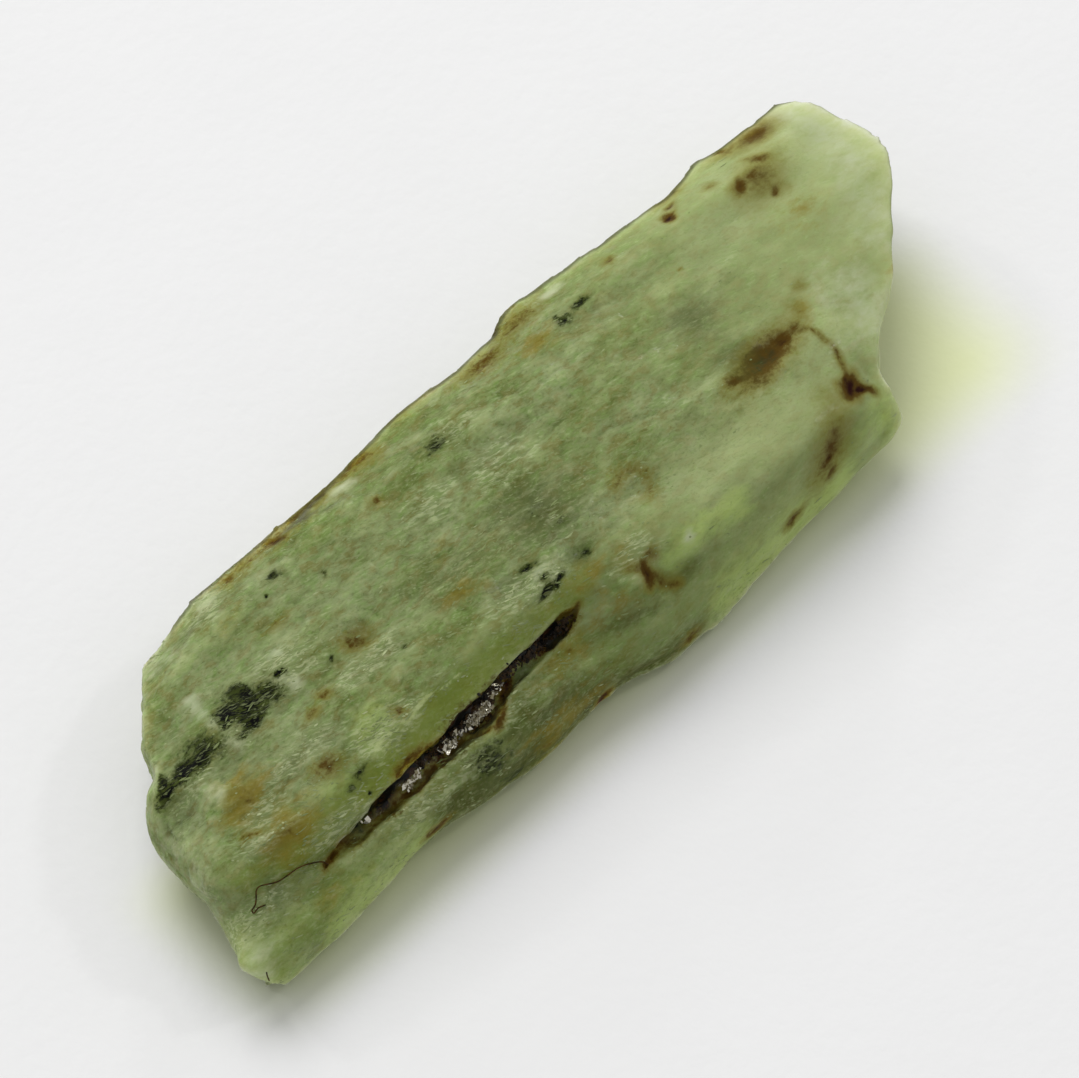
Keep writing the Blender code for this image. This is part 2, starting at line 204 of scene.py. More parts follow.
RUST_VEINS = {
    "edge_band": ([(265, 541), (283, 524), (301, 507), (322, 490)], 0.4, 0.62),
    "edge_band_far": ([(335, 478), (349, 466), (365, 457)], 0.36, 0.6),
    "edge_haze": ([(222, 581), (259, 548), (297, 512), (337, 478)], 0.36, 0.54),
    "edge_upper": ([(393, 419), (418, 400), (453, 372)], 0.18, 0.5),
    "arc": ([(799, 331), (808, 328), (819, 334), (832, 348), (841, 363), (844, 372)], 0.11, 0.62),
    "arch": ([(615, 487), (619, 474), (636, 466), (648, 475), (651, 487), (647, 497)], 0.2, 0.46),
    "streak": ([(846, 398), (838, 411), (832, 425)], 0.3, 0.36),
    "seam_curl": ([(508, 682), (505, 698), (501, 712), (497, 726)], 0.13, 0.9),
    "seam_under": ([(499, 722), (484, 732), (464, 741), (448, 754)], 0.09, 0.8),
    "seam_under_near": ([(436, 768), (424, 782), (408, 795), (396, 806)], 0.1, 0.8),
    "seam_teeth": ([(440, 742), (426, 751), (410, 762), (400, 774)], 0.18, 0.78),
    "seam_tip": ([(566, 618), (580, 604)], 0.12, 0.62),
    "seam_low": ([(388, 814), (368, 833), (348, 848)], 0.12, 0.66),
    "seam_start": ([(324, 868), (333, 857), (348, 838)], 0.12, 0.75),
    "pit": ([(646, 566), (650, 574), (652, 583)], 0.18, 0.82),
    "pit_arm": ([(656, 578), (666, 583), (677, 580)], 0.16, 0.66),
    "pit_start": ([(630, 567), (643, 567), (655, 552)], 0.16, 0.58),
    "bump_edge": ([(491, 337), (497, 322), (509, 309)], 0.14, 0.62),
}
CLAY = {
    "near_stain_upper": (246, 798, 0.7, 0.46, 1.0, 20),
    "near_stain_lower": (290, 832, 0.7, 0.48, 1.0, 10),
    "ledge_smear": (600, 570, 1.0, 0.24, 0.6),
    "ledge_brown": (560, 655, 0.9, 0.35, 0.6),
    "ledge_middle": (612, 600, 0.6, 0.3, 0.5),
    "far_faint": (804, 210, 0.6, 0.4, 0.5),
    "far_tail": (803, 306, 0.3, 0.22, 0.7, 60),
    "edge_faint": (890, 267, 0.2, 0.14, 0.7),
    "bump_side": (530, 345, 0.6, 0.3, 0.6),
    "ledge_low": (560, 720, 1.1, 0.34, 0.7),
    "seam_foot": (425, 800, 0.8, 0.16, 0.6),
    "middle": (440, 556, 0.5, 0.3, 0.5),
    "middle_low": (462, 588, 0.5, 0.25, 0.6),
    "near_side": (222, 626, 0.4, 0.15, 0.6),
    "foot": (330, 900, 0.6, 0.3, 0.4),
}
HAZE = {
    "middle": (455, 545, 1.4, 0.6, 0.3),
    "cloud": (535, 512, 1.0, 0.75, 0.9),
    "cloud_trail": (455, 575, 1.1, 0.6, 0.7),
    "far_cloud": (695, 320, 0.6, 0.45, 0.9),
    "near_corner": (172, 832, 0.6, 0.5, 0.5, 40),
    "blob_cloud": (742, 358, 0.6, 0.42, 0.9),
}
# Frosted pale places. The far side's patch is painted light on a face that turns away from the light,
# and the far rim and the small flecks are partly painted highlights
FROST_AND_HIGHLIGHTS = {
    "patch_veil": (290, 680, 0.16, 0.34, 0.7, 30),
    "patch_fleck": (275, 655, 0.2, 0.1, 0.85, -60),
    "near_dome": (218, 797, 0.22, 0.2, 0.62),
    "near_rim": (157, 664, 0.3, 0.24, 0.6),
    "edge_pale": (206, 606, 0.5, 0.24, 0.55, 10),
    "edge_fleck": (344, 486, 0.3, 0.12, 0.9, -10),
    "bump_fleck": (551, 292, 0.22, 0.12),
    "tip": (784, 112, 0.6, 0.35, 0.75, -30),
    "tip_side": (832, 130, 0.9, 0.6, 0.62, -60),
    "flank_fleck": (689, 537, 0.16, 0.1, 0.8, 30),
    "slit_flake": (541, 573, 0.2, 0.07, 0.9, 10),
    "slit_flake_low": (553, 588, 0.16, 0.05, 0.8, 30),
    "lobe": (160, 838, 0.6, 0.36, 0.3, 50),
    "lobe_low": (196, 876, 0.5, 0.26, 0.25, 40),
    "near_foot": (254, 952, 0.5, 0.36, 0.6),
    "near_tip": (254, 974, 0.6, 0.3, 0.6),
    "far_side": (862, 305, 0.9, 0.7, 0.62, 80),
}
FROST_AND_HIGHLIGHT_VEINS = {
    "patch_gap": ([(190, 703), (209, 719), (236, 742)], 0.16, 0.62),
    "patch_line": ([(231, 690), (250, 708)], 0.05, 0.6),
    "far_rim": ([(785, 116), (822, 128), (850, 156), (868, 190), (874, 228)], 0.6, 0.5),
}
# Thin pale lines along the crest, painted highlights where its edge glints
CREST_HIGHLIGHT_VEINS = {
    "crest": ([(350, 776), (374, 750), (390, 734), (424, 703), (452, 678), (477, 655)], 0.04, 0.9),
    "crest_glint": ([(374, 748), (389, 734)], 0.07, 1.0),
    "crest_near": ([(292, 858), (310, 848), (328, 838)], 0.04, 0.6),
    "crest_far": ([(477, 655), (508, 628), (532, 606)], 0.03, 0.6),
    "near_line": ([(262, 862), (236, 882)], 0.03, 0.5),
}
DEEP_VEINS = {
    "band": ([(292, 866), (345, 812), (400, 752), (450, 706), (500, 660), (545, 615),
              (575, 590)], 0.42),
    "near_step": ([(236, 880), (262, 868)], 0.3, 0.7),
}
GLASS_VEINS = {
    "flank": ([(282, 950), (358, 885), (434, 822), (509, 755), (623, 655), (751, 548),
               (850, 455)], 0.5, 0.7),
    "band": ([(300, 858), (345, 812), (400, 752), (450, 706), (500, 660)], 0.3, 0.8),
}
# Darker olive along the right flank's lower edge and the ledge's foot: painted shade where the flank
# turns down towards the floor
PAINTED_SHADE_VEINS = {
    "flank_edge": ([(455, 815), (501, 785), (542, 757), (582, 724), (607, 700)], 0.55, 0.95),
    "flank_upper": ([(520, 735), (560, 700), (600, 690)], 0.4, 0.7),
    "flank_far": ([(620, 680), (655, 665), (690, 640)], 0.4, 0.75),
    "ledge_foot": ([(590, 640), (640, 610), (700, 560)], 0.24, 0.5),
}
# Lime green over the right flank, the ledge and a few places near them: partly the stone's own
# yellow-green, partly painted glow of light through thin stone and painted light on the flank, which
# faces away from the window
LIME_AND_GLOW_VEINS = {
    "flank_far": ([(728, 596), (769, 556), (835, 490)], 0.55, 0.9),
    "flank_near": ([(345, 920), (362, 900), (392, 875), (420, 845)], 0.45, 0.9),
    "ledge": ([(672, 560), (700, 530), (740, 505)], 0.3, 0.8),
}
LIME_AND_GLOW = {
    "near_middle": (378, 725, 0.6, 0.34, 0.9, 10),
    "near_low": (330, 790, 0.6, 0.25, 0.5),
    "far_corner": (880, 420, 0.5, 0.4, 0.6),
}
PALE = {
    "far_side": (845, 320, 1.6, 0.8, 0.95),
    "ledge": (758, 436, 2.6, 0.8),
    "flank_far": (800, 490, 2.2, 0.6, 0.8),
}

# Where the edges are worn quite round
SOFT_VEINS = {
    "far_shoulder": ([(600, 610), (660, 560), (740, 500), (820, 430), (870, 392)], 0.75),
    "far_edge": ([(640, 640), (760, 540), (880, 440)], 0.35),
    "far_tip": ([(735, 128), (790, 105), (860, 150), (885, 240), (885, 330)], 0.7),
    "near_edge": ([(240, 940), (262, 975)], 0.4),
    "crest": ([(290, 850), (370, 765), (440, 700), (500, 620)], 0.3, 0.8),
}
SOFT_ROUNDS = 30
SOFT_LAST_ROUNDS = 6

# Where two lobes at the near end run together into one slope, and the far corner is worn round
LOBES = {
    "lobes": ([(150, 836), (174, 866), (205, 890), (222, 912)], 0.62),
    "far_corner": ([(899, 406), (906, 416), (898, 428)], 0.28),
}
LOBE_SWELL = 0.13

# Where the lips of the far end's crack close
LIPS = {
    "lips": ([(849, 383), (866, 391)], 0.34),
}
LIP_SWELL = 0.05
MERGE_ROUNDS = 70

THIN_ROUNDS = 8

# The blade grows paler towards its far end
PALE_RANGE = (1.0, 12.5)

# Glints are crisp at the near end and faint beyond these places along the blade
CRISP_START = -5.0
CRISP_END = 4.0

# How far the dark rim, which is painted shade, reaches over the left edge, and where along the blade
# it and the tip's dark edge, also painted shade, begin and are full
RIM_ROUNDS = 5
RIM_RANGE = (-7.6, -6.4)
TIP_RANGE = (9.0, 10.2)

# Broken texture fades towards the far end between these places along the blade
FINE_RANGE = (2.0, 9.0)

# Rays sent inwards from each point to find how thin the stone is there: lean and turn, and the depth
# over which the light fades to a third
INNER_RAYS = [(0.0, 0.0)] + [(math.radians(50), math.tau * k / 4) for k in range(4)]
INNER_REACH = 1.6
INNER_START = 0.05

# Painted light: the green of light that comes through the stone is painted on the floor beside its
# right
# flank: how far from the middle line the tint is full and where it ends, how far along the blade it
# goes and fades, and its colour
TINT_START = 2.7
TINT_END = 4.7
TINT_HALF_LENGTH = 9.5
TINT_FADE = 2.5
TINT_COLOUR = (0.735, 0.775, 0.465, 1)
BOARD_TONES = [(0.765, 0.765, 0.765, 1), (0.785, 0.785, 0.785, 1)]

# Painted glow: light from the pale floor that glows through thin places below these heights
GLOW_RANGE = (2.5, 1.5)

# How much light the stone's skin returns of its own, over the colour of the stone
SKIN_LIGHT = 0.010

# Stains and painted light from the lowest up: the mask, how much it is frayed, the range over which it
# comes in, its share and its colour. The lime green is partly painted glow, the dark olive along the
# flank's foot is painted shade, and the frost is partly painted highlight and painted light.
STAINS = [
    ("lime_and_glow", 0.9, 0.10, 0.90, 0.75, (170, 190, 112)),
    ("painted_shade", 1.1, 0.10, 0.80, 0.80, (66, 68, 22)),
    ("haze", 0.9, 0.10, 0.90, 0.70, (84, 90, 58)),
    ("clay", 1.7, 0.15, 0.90, 0.80, (132, 118, 46)),
    ("frost_and_highlight", 1.2, 0.12, 0.85, 0.85, (176, 183, 152)),
]

# How high the relief stands, and how deep the marks lie in it
LINE_HEIGHT = 0.014
CHIP_HEIGHT = 0.018
SMALL_CHIP_HEIGHT = 0.010
LUMP_HEIGHT = 0.024
TERRACE_HEIGHT = 0.04
SEAM_DEPTH = 0.14
SEAM_UNEVEN = 0.08
INCLUSION_DEPTH = 0.04
RUST_DEPTH = 0.03

# Cleavage slivers that glint: how many, their size, and how they turn from the blade
SLIVERS = 3600
SLIVER_LENGTH = (0.05, 0.26)
SLIVER_WIDTH = (0.020, 0.046)
SLIVER_LEAN = math.radians(-16)
SLIVER_TURN = math.radians(17)
SLIVER_STOPS = 4
SLIVER_SIDES = 4
SLIVER_RISE = 0.006
SLIVER_ROOT = 0.020

# Where the cleavage is splintered into pale feathers, their pale streaks painted glints, and slivers
# crowd
GLINT_FEATHERS = {
    "patch_side": (285, 665, 0.5, 0.34),
    "patch_gap": (232, 735, 0.55, 0.22, 0.8),
    "patch_low": (192, 785, 0.4, 0.2, 0.7),
    "speck": (362, 666, 0.5, 0.2),
    "speck_far": (384, 646, 0.3, 0.2, 0.8),
    "near_middle": (385, 728, 0.6, 0.3),
    "near_upper": (318, 738, 0.5, 0.25, 0.6),
    "near_lower": (292, 764, 0.45, 0.16, 0.9),
    "stain": (262, 812, 0.4, 0.22, 0.9),
    "stain_low": (268, 838, 0.45, 0.16, 0.9, -10),
    "crest_foot": (340, 825, 0.6, 0.2),
    "slit": (540, 582, 0.5, 0.22, 0.9),
    "slit_left": (505, 603, 0.5, 0.2, 0.8, 10),
    "pit": (638, 553, 0.4, 0.28),
    "middle": (497, 462, 0.6, 0.4, 0.6),
    "middle_near": (432, 500, 0.5, 0.3, 0.6),
    "upper": (450, 430, 0.6, 0.2, 0.6),
    "cloud": (552, 515, 0.16, 0.14, 0.8),
    "seam_foot": (425, 805, 0.8, 0.2, 0.8),
    "seam_side": (505, 715, 0.5, 0.16, 0.7),
    "flank": (468, 765, 0.5, 0.25, 0.8),
    "foot": (247, 925, 0.5, 0.25, 0.8),
    "foot_upper": (275, 890, 0.4, 0.16, 0.7),
    "near_edge": (205, 612, 0.5, 0.25, 0.6, 10),
}

# Mica plates: dark ones fill the seam, and silver ones lie along these lines of pixels. Each set has
# its spread in pixels, its range of shades and its range of sizes.
PLATE_HALF = 0.006
PLATE_LIFT = 0.01
DARK_PLATES = 300
DARK_SET = (2.4, (0.0, 0.42), (0.025, 0.070))
SILVER_SET = (2.6, (0.55, 1.0), (0.030, 0.100))
SILVER_LINES = [([(499, 684), (490, 696)], 20), ([(487, 704), (479, 714), (468, 724)], 170),
                ([(461, 732), (452, 742), (443, 750)], 44), ([(420, 772), (412, 782), (402, 789)], 36),
                ([(366, 820), (369, 818)], 5)]

HAIR_WIDTH = 0.028
HAIR_LIFT = 0.6
HAIR_SIDES = 8
HAIR_PARTS = 6
LONG_HAIR = [(265, 905), (258, 908), (254, 913), (252, 910), (255, 905), (256, 898), (256, 891),
             (260, 886), (276, 882), (286, 876), (299, 867), (312, 863), (322, 862), (329, 865)]
SHORT_HAIR = [(266, 972), (267, 976), (269, 980)]

# The floor and the lights, in metres. A light's place is how far it is along the view, to its right
# and up. The window is wide and soft, and the lamps are small and give the glints.
FLOOR_HALF = 0.6
WINDOW_PLACE = (0.30, -0.16, 0.46)
WINDOW_SIZE = 0.42
WINDOW_POWER = 2.40
LAMPS = {"lamp_behind": (0.57, 0.0, 0.16), "lamp_left": (0.25, -0.42, 0.32),
         "lamp_right": (0.15, 0.38, 0.42)}
LAMP_SIZE = 0.06
LAMP_POWER = 0.22
ROOM_LIGHT = 0.50


def tone(red, green, blue):
    """A colour given as the photograph shows it, from 0 to 255, in the shader's linear values."""
    shares = [value / 255 for value in (red, green, blue)]
    return [s / 12.92 if s <= 0.04045 else ((s + 0.055) / 1.055) ** 2.4 for s in shares] + [1.0]


def stone_tone(red, green, blue):
    """The stone's own colour where the photograph shows one, less the light that its skin returns."""
    return [max(value - SKIN_LIGHT, 0.004) for value in tone(red, green, blue)[:3]] + [1.0]


def smooth_step(value, low, high):
    share = np.clip((value - low) / (high - low), 0.0, 1.0)
    return share * share * (3 - 2 * share)


def rim_shade_mask(points, normals, edges):
    """1 where the upper face turns over to the left wall, and less at the far tip and on the wall."""
    left = spread(smooth_step(normals[:, 1], 0.50, 0.78)[:, None], edges, RIM_ROUNDS)
    left = smooth_step(left[:, 0], 0.08, 0.45) * (1 - 0.8 * smooth_step(normals[:, 1], 0.80, 0.95))
    left *= smooth_step(points[:, 0], *RIM_RANGE)
    tip = smooth_step(normals[:, 0], 0.20, 0.70) * smooth_step(points[:, 0], *TIP_RANGE) * 0.4
    return np.maximum(left, tip) * smooth_step(points[:, 2], 0.8, 1.6)


def placed(name, data):
    """A new object in the scene."""
    thing = bpy.data.objects.new(name, data)
    bpy.context.scene.collection.objects.link(thing)
    return thing


def remeshed(node, spacing):
    """A copy of a node's mesh in even small quads, as an object's own mesh."""
    copy = placed("crystal_core", node.data.copy())
    remesh = copy.modifiers.new("Remesh", "REMESH")
    remesh.mode = "VOXEL"
    remesh.voxel_size = spacing * MM
    evaluated = copy.evaluated_get(bpy.context.evaluated_depsgraph_get())
    mesh = bpy.data.meshes.new_from_object(evaluated)
    bpy.data.objects.remove(copy)
    return mesh


def points_of(mesh):
    points = np.empty(len(mesh.vertices) * 3)
    mesh.vertices.foreach_get("co", points)
    return points.reshape(-1, 3) / MM


def normals_of(mesh):
    normals = np.empty(len(mesh.vertices) * 3, dtype=np.float32)
    mesh.vertex_normals.foreach_get("vector", normals)
    return normals.reshape(-1, 3).astype(float)


def edges_of(mesh):
    edges = np.empty(len(mesh.edges) * 2, dtype=np.int64)
    mesh.edges.foreach_get("vertices", edges)
    return edges.reshape(-1, 2)


def put_points(mesh, points):
    mesh.vertices.foreach_set("co", (points * MM).ravel())
    mesh.update()


def neighbour_mean(values, edges):
    """The mean of each point's neighbours, in every column of the values."""
    count = np.bincount(edges.ravel(), minlength=len(values))
    ends = edges.T.ravel()
    others = edges[:, ::-1].T.ravel()
    sums = [np.bincount(ends, weights=column[others], minlength=len(values)) for column in values.T]
    return (np.array(sums) / count).T


def spread(values, edges, rounds):
    """The values after so many rounds of taking the mean of each point's neighbours."""
    for _ in range(rounds):
        values = neighbour_mean(values, edges)
    return values


def relaxed(points, edges, rounds, share):
    """Points moved towards the mean of their neighbours, and pushed back so that nothing shrinks."""
    for turn in range(rounds * 2):
        away = neighbour_mean(points, edges) - points
        points = points + away * (share if turn % 2 == 0 else -share * 1.04)
    return points


def ridge_mask(points, normals, edges):
    """0 in hollows, 0.5 on even ground and 1 on ridges and worn edges."""
    height = ((points - neighbour_mean(points, edges)) * normals).sum(axis=1)[:, None]
    for _ in range(2):
        height = (height + neighbour_mean(height, edges)) / 2
    return np.clip(0.5 + height[:, 0] / (4 * np.std(height)), 0.0, 1.0)


def rough(points, size, seed):
    """Smooth noise from -1 to 1, with lumps of the given size along X, Y and Z."""
    scaled = points / np.array(size) + seed * 7.31
    return np.array([noise.noise(p) for p in scaled.tolist()])


def facets(points, size, seed):
    """Flat broken facets: each cell of the given size has a slope of its own. From -0.5 to 0.5."""
    scaled = points / np.array(size) + seed * 5.17
    heights = []
    for p in scaled.tolist():
        centre = noise.voronoi(p)[1][0]
        slope = noise.cell_vector(centre)
        heights.append(sum((a - b) * s for a, b, s in zip(p, centre, slope)))
    return np.array(heights)


def inner_light(tree, points, normals):
    """How near the far side lies from inside each point: 0 in the thick of it, 1 at thin edges."""
    total = np.zeros(len(points))
    for i, (place, normal) in enumerate(zip(points.tolist(), normals.tolist())):
        inward = -Vector(normal)
        side = inward.orthogonal().normalized()
        other = inward.cross(side)
        start = Vector(place) + inward * INNER_START
        for lean, turn in INNER_RAYS:
            around = side * math.cos(turn) + other * math.sin(turn)
            ray = inward * math.cos(lean) + around * math.sin(lean)
            _, _, _, depth = tree.ray_cast(start, ray)
            total[i] += math.exp(-(depth or 0.0) / INNER_REACH)
    return total / len(INNER_RAYS)


class Surface:
    """The crystal's surface in millimetres: where the photograph sees it, and masks upon it."""

    def __init__(self, mesh):
        self.points = points_of(mesh)
        self.tree = BVHTree.FromPolygons(self.points.tolist(), [p.vertices for p in mesh.polygons])
        self.bent = self.points.copy()
        for size, reach, seed in BENDS:
            for axis in range(3):
                self.bent[:, axis] += reach * rough(self.points, (size * 1.4, size, size), seed + axis)

    def seen_at(self, pixel):
        """The place that the camera sees at a pixel, and which way the surface faces there."""
        across = (pixel[0] - PHOTO_WIDTH / 2) * PIXEL
        rise = (PHOTO_HEIGHT / 2 - pixel[1]) * PIXEL
        ray = (FORWARD * CAMERA_DISTANCE + RIGHT * across + UP * rise).normalized()
        place, normal, _, _ = self.tree.ray_cast(EYE, ray)
        if place is None:
            reaches = np.arange(-DEPTH_HALF, DEPTH_HALF, 0.2) + CAMERA_DISTANCE
            hits = [self.tree.find_nearest(EYE + ray * reach) for reach in reaches.tolist()]
            place, normal, _, _ = min(hits, key=lambda hit: hit[3])
        return place, normal

    def blot(self, mark):
        """1 at the mark's middle, 0.5 on its outline and 0 at twice its size."""
        place, normal = self.seen_at((mark.x, mark.y))
        along = Vector((1.0, 0.0, 0.0)) - normal * normal.x
        along.rotate(Matrix.Rotation(math.radians(mark.turn), 3, normal))
        along.normalize()
        across = normal.cross(along)
        away = self.bent - np.array(place)
        deep = max(mark.length, mark.width, 0.3)
        reach = np.sqrt((away @ np.array(along) / mark.length) ** 2
                        + (away @ np.array(across) / mark.width) ** 2
                        + (away @ np.array(normal) / deep) ** 2)
        return np.clip(1 - reach / 2, 0.0, 1.0) * mark.strength

    def vein(self, pixels, half_widths):
        """1 along a line of pixels, 0.5 at its half width and 0 at twice that."""
        route = [np.array(self.seen_at(pixel)[0]) for pixel in pixels]
        best = np.full(len(self.points), 9.0)
        for start, end, w_start, w_end in zip(route, route[1:], half_widths, half_widths[1:]):
            run = end - start
            share = np.clip((self.bent - start) @ run / (run @ run), 0.0, 1.0)
            distance = np.linalg.norm(self.bent - start - share[:, None] * run, axis=1)
            best = np.minimum(best, distance / (w_start + (w_end - w_start) * share))
        return np.clip(1 - best / 2, 0.0, 1.0)

    def mask(self, *groups):
        """The strongest of all the marks in the groups, at every point."""
        result = np.zeros(len(self.points))
        for group in groups:
            for mark in group.values():
                if isinstance(mark[0], list):
                    vein = Vein(*mark)
                    value = self.vein(vein.pixels, [vein.width] * len(vein.pixels)) * vein.strength
                else:
                    value = self.blot(Blot(*mark))
                result = np.maximum(result, value)
        return result


class Shader:
    """A material's node tree. Its calls add nodes and return the socket that they give."""

    def __init__(self, name):
        self.material = bpy.data.materials.new(name)
        self.material.use_nodes = True
        self.tree = self.material.node_tree
        self.surface = self.tree.nodes["Principled BSDF"]
        self.place = self.node("TexCoord").outputs["Object"]
        self.colour = None

    def fill(self, socket, value):
        if isinstance(value, bpy.types.NodeSocket):
            self.tree.links.new(value, socket)
        else:
            socket.default_value = value

    def fill_named(self, node, values):
        for name, value in values.items():
            self.fill(node.inputs[name.replace("_", " ")], value)

    def set(self, **values):
        self.fill_named(self.surface, values)

    def node(self, kind, **values):
        node = self.tree.nodes.new("ShaderNode" + kind)
        self.fill_named(node, values)
        return node

    def operation(self, kind, name, first, second):
        node = self.node(kind)
        node.operation = name
        self.fill(node.inputs[0], first)
        self.fill(node.inputs[1], second)
        return node.outputs

    def vector(self, name, first, second, output="Vector"):
        return self.operation("VectorMath", name, first, second)[output]

    def math(self, name, first, second=0.0):
        return self.operation("Math", name, first, second)[0]

    def times(self, first, second):
        return self.math("MULTIPLY", first, second)

    def mask(self, name):
        node = self.node("Attribute")
        node.attribute_name = name
        return node.outputs["Fac"]

    def sized(self, size, seed, turn=0.0):
        """The place on the object, turned about Z and counted in lumps of the given size."""
        node = self.node("Mapping", Vector=self.place,
                         Location=[seed * 0.037, seed * 0.053, seed * 0.019],
                         Rotation=[0.0, 0.0, math.radians(turn)], Scale=[s * MM for s in size])
        node.vector_type = "TEXTURE"
        return node.outputs["Vector"]

    def noise(self, size, seed=0, detail=2.0, roughness=0.5, turn=0.0, output="Fac"):
        node = self.node("TexNoise", Vector=self.sized(size, seed, turn), Scale=1.0, Detail=detail,
                         Roughness=roughness)
        return node.outputs[output]

    def bend(self, size, reach):
        """Bend the place on the object by a noise, so that what is drawn there isn't straight."""
        shift = self.noise((size, size, size), 21, detail=1.0, output="Color")
        shift = self.vector("SUBTRACT", shift, (0.5, 0.5, 0.5))
        shift = self.vector("MULTIPLY", shift, (reach * MM, reach * MM, reach * MM))
        self.place = self.vector("ADD", self.place, shift)

    def facets(self, size, seed=0):
        """Flat facets, each with a slope of its own, about 0.5 high."""
        cells = self.node("TexVoronoi", Vector=self.sized(size, seed), Scale=1.0)
        away = self.vector("SUBTRACT", self.sized(size, seed), cells.outputs["Position"])
        slope = self.vector("SUBTRACT", cells.outputs["Color"], (0.5, 0.5, 0.5))
        return self.vector("DOT_PRODUCT", away, slope, output="Value")

    def step(self, value, low, high, most=1.0, least=0.0):
        """Goes smoothly from least to most while the value goes from low to high."""
        node = self.node("MapRange", Value=value, From_Min=low, From_Max=high, To_Min=least,
                         To_Max=most)
        node.interpolation_type = "SMOOTHSTEP"
        return node.outputs["Result"]

    def mix(self, share, first, second):
        node = self.node("Mix")
        node.data_type = "RGBA"
        for index, value in ((0, share), (6, first), (7, second)):
            self.fill(node.inputs[index], value)
        return node.outputs[2]

    def lay(self, share, red, green, blue):
        """Lay a share of one of the stone's tones over the colour so far."""
        self.colour = self.mix(share, self.colour, stone_tone(red, green, blue))

    def frayed(self, name, fraying, amount):
        """A mask from the mesh, its slope frayed by a noise."""
        moved = self.times(self.math("SUBTRACT", fraying, 0.5), amount)
        return self.math("ADD", self.mask(name), moved)

    def bump(self, height):
        """Relief of a height in millimetres."""
        return self.node("Bump", Height=height, Distance=MM, Strength=1.0).outputs["Normal"]


